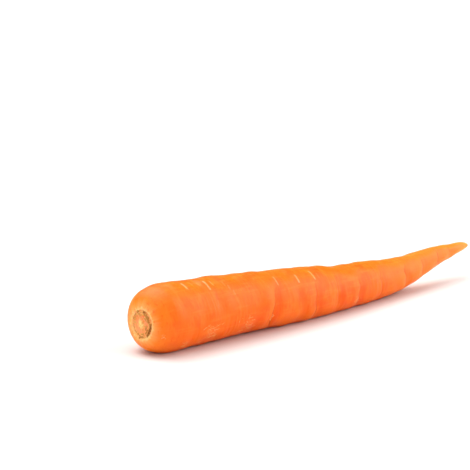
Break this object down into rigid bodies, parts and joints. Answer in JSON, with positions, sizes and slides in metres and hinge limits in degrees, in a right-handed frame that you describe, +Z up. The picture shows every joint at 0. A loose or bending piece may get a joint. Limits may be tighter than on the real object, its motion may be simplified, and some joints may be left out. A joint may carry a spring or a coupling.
{
  "type": "carrot",
  "caption": "Whole topped carrot root lying on its side: rounded crown with a leaf scar, creased tapering body and a thin tail that turns up.",
  "frame": {"origin": "on the surface that the root lies on, under the middle of its bounding box", "axes": "+X along the root, from the crown to the tip; +Z up, away from the surface; +Y to the left when looking from the crown to the tip"},
  "size_m": [0.2154, 0.03, 0.0293],
  "materials": {
    "carrot_skin": "satin"
  },
  "bodies": {
    "root": {"carrot_root": "carrot_skin"}
  },
  "joints": []
}
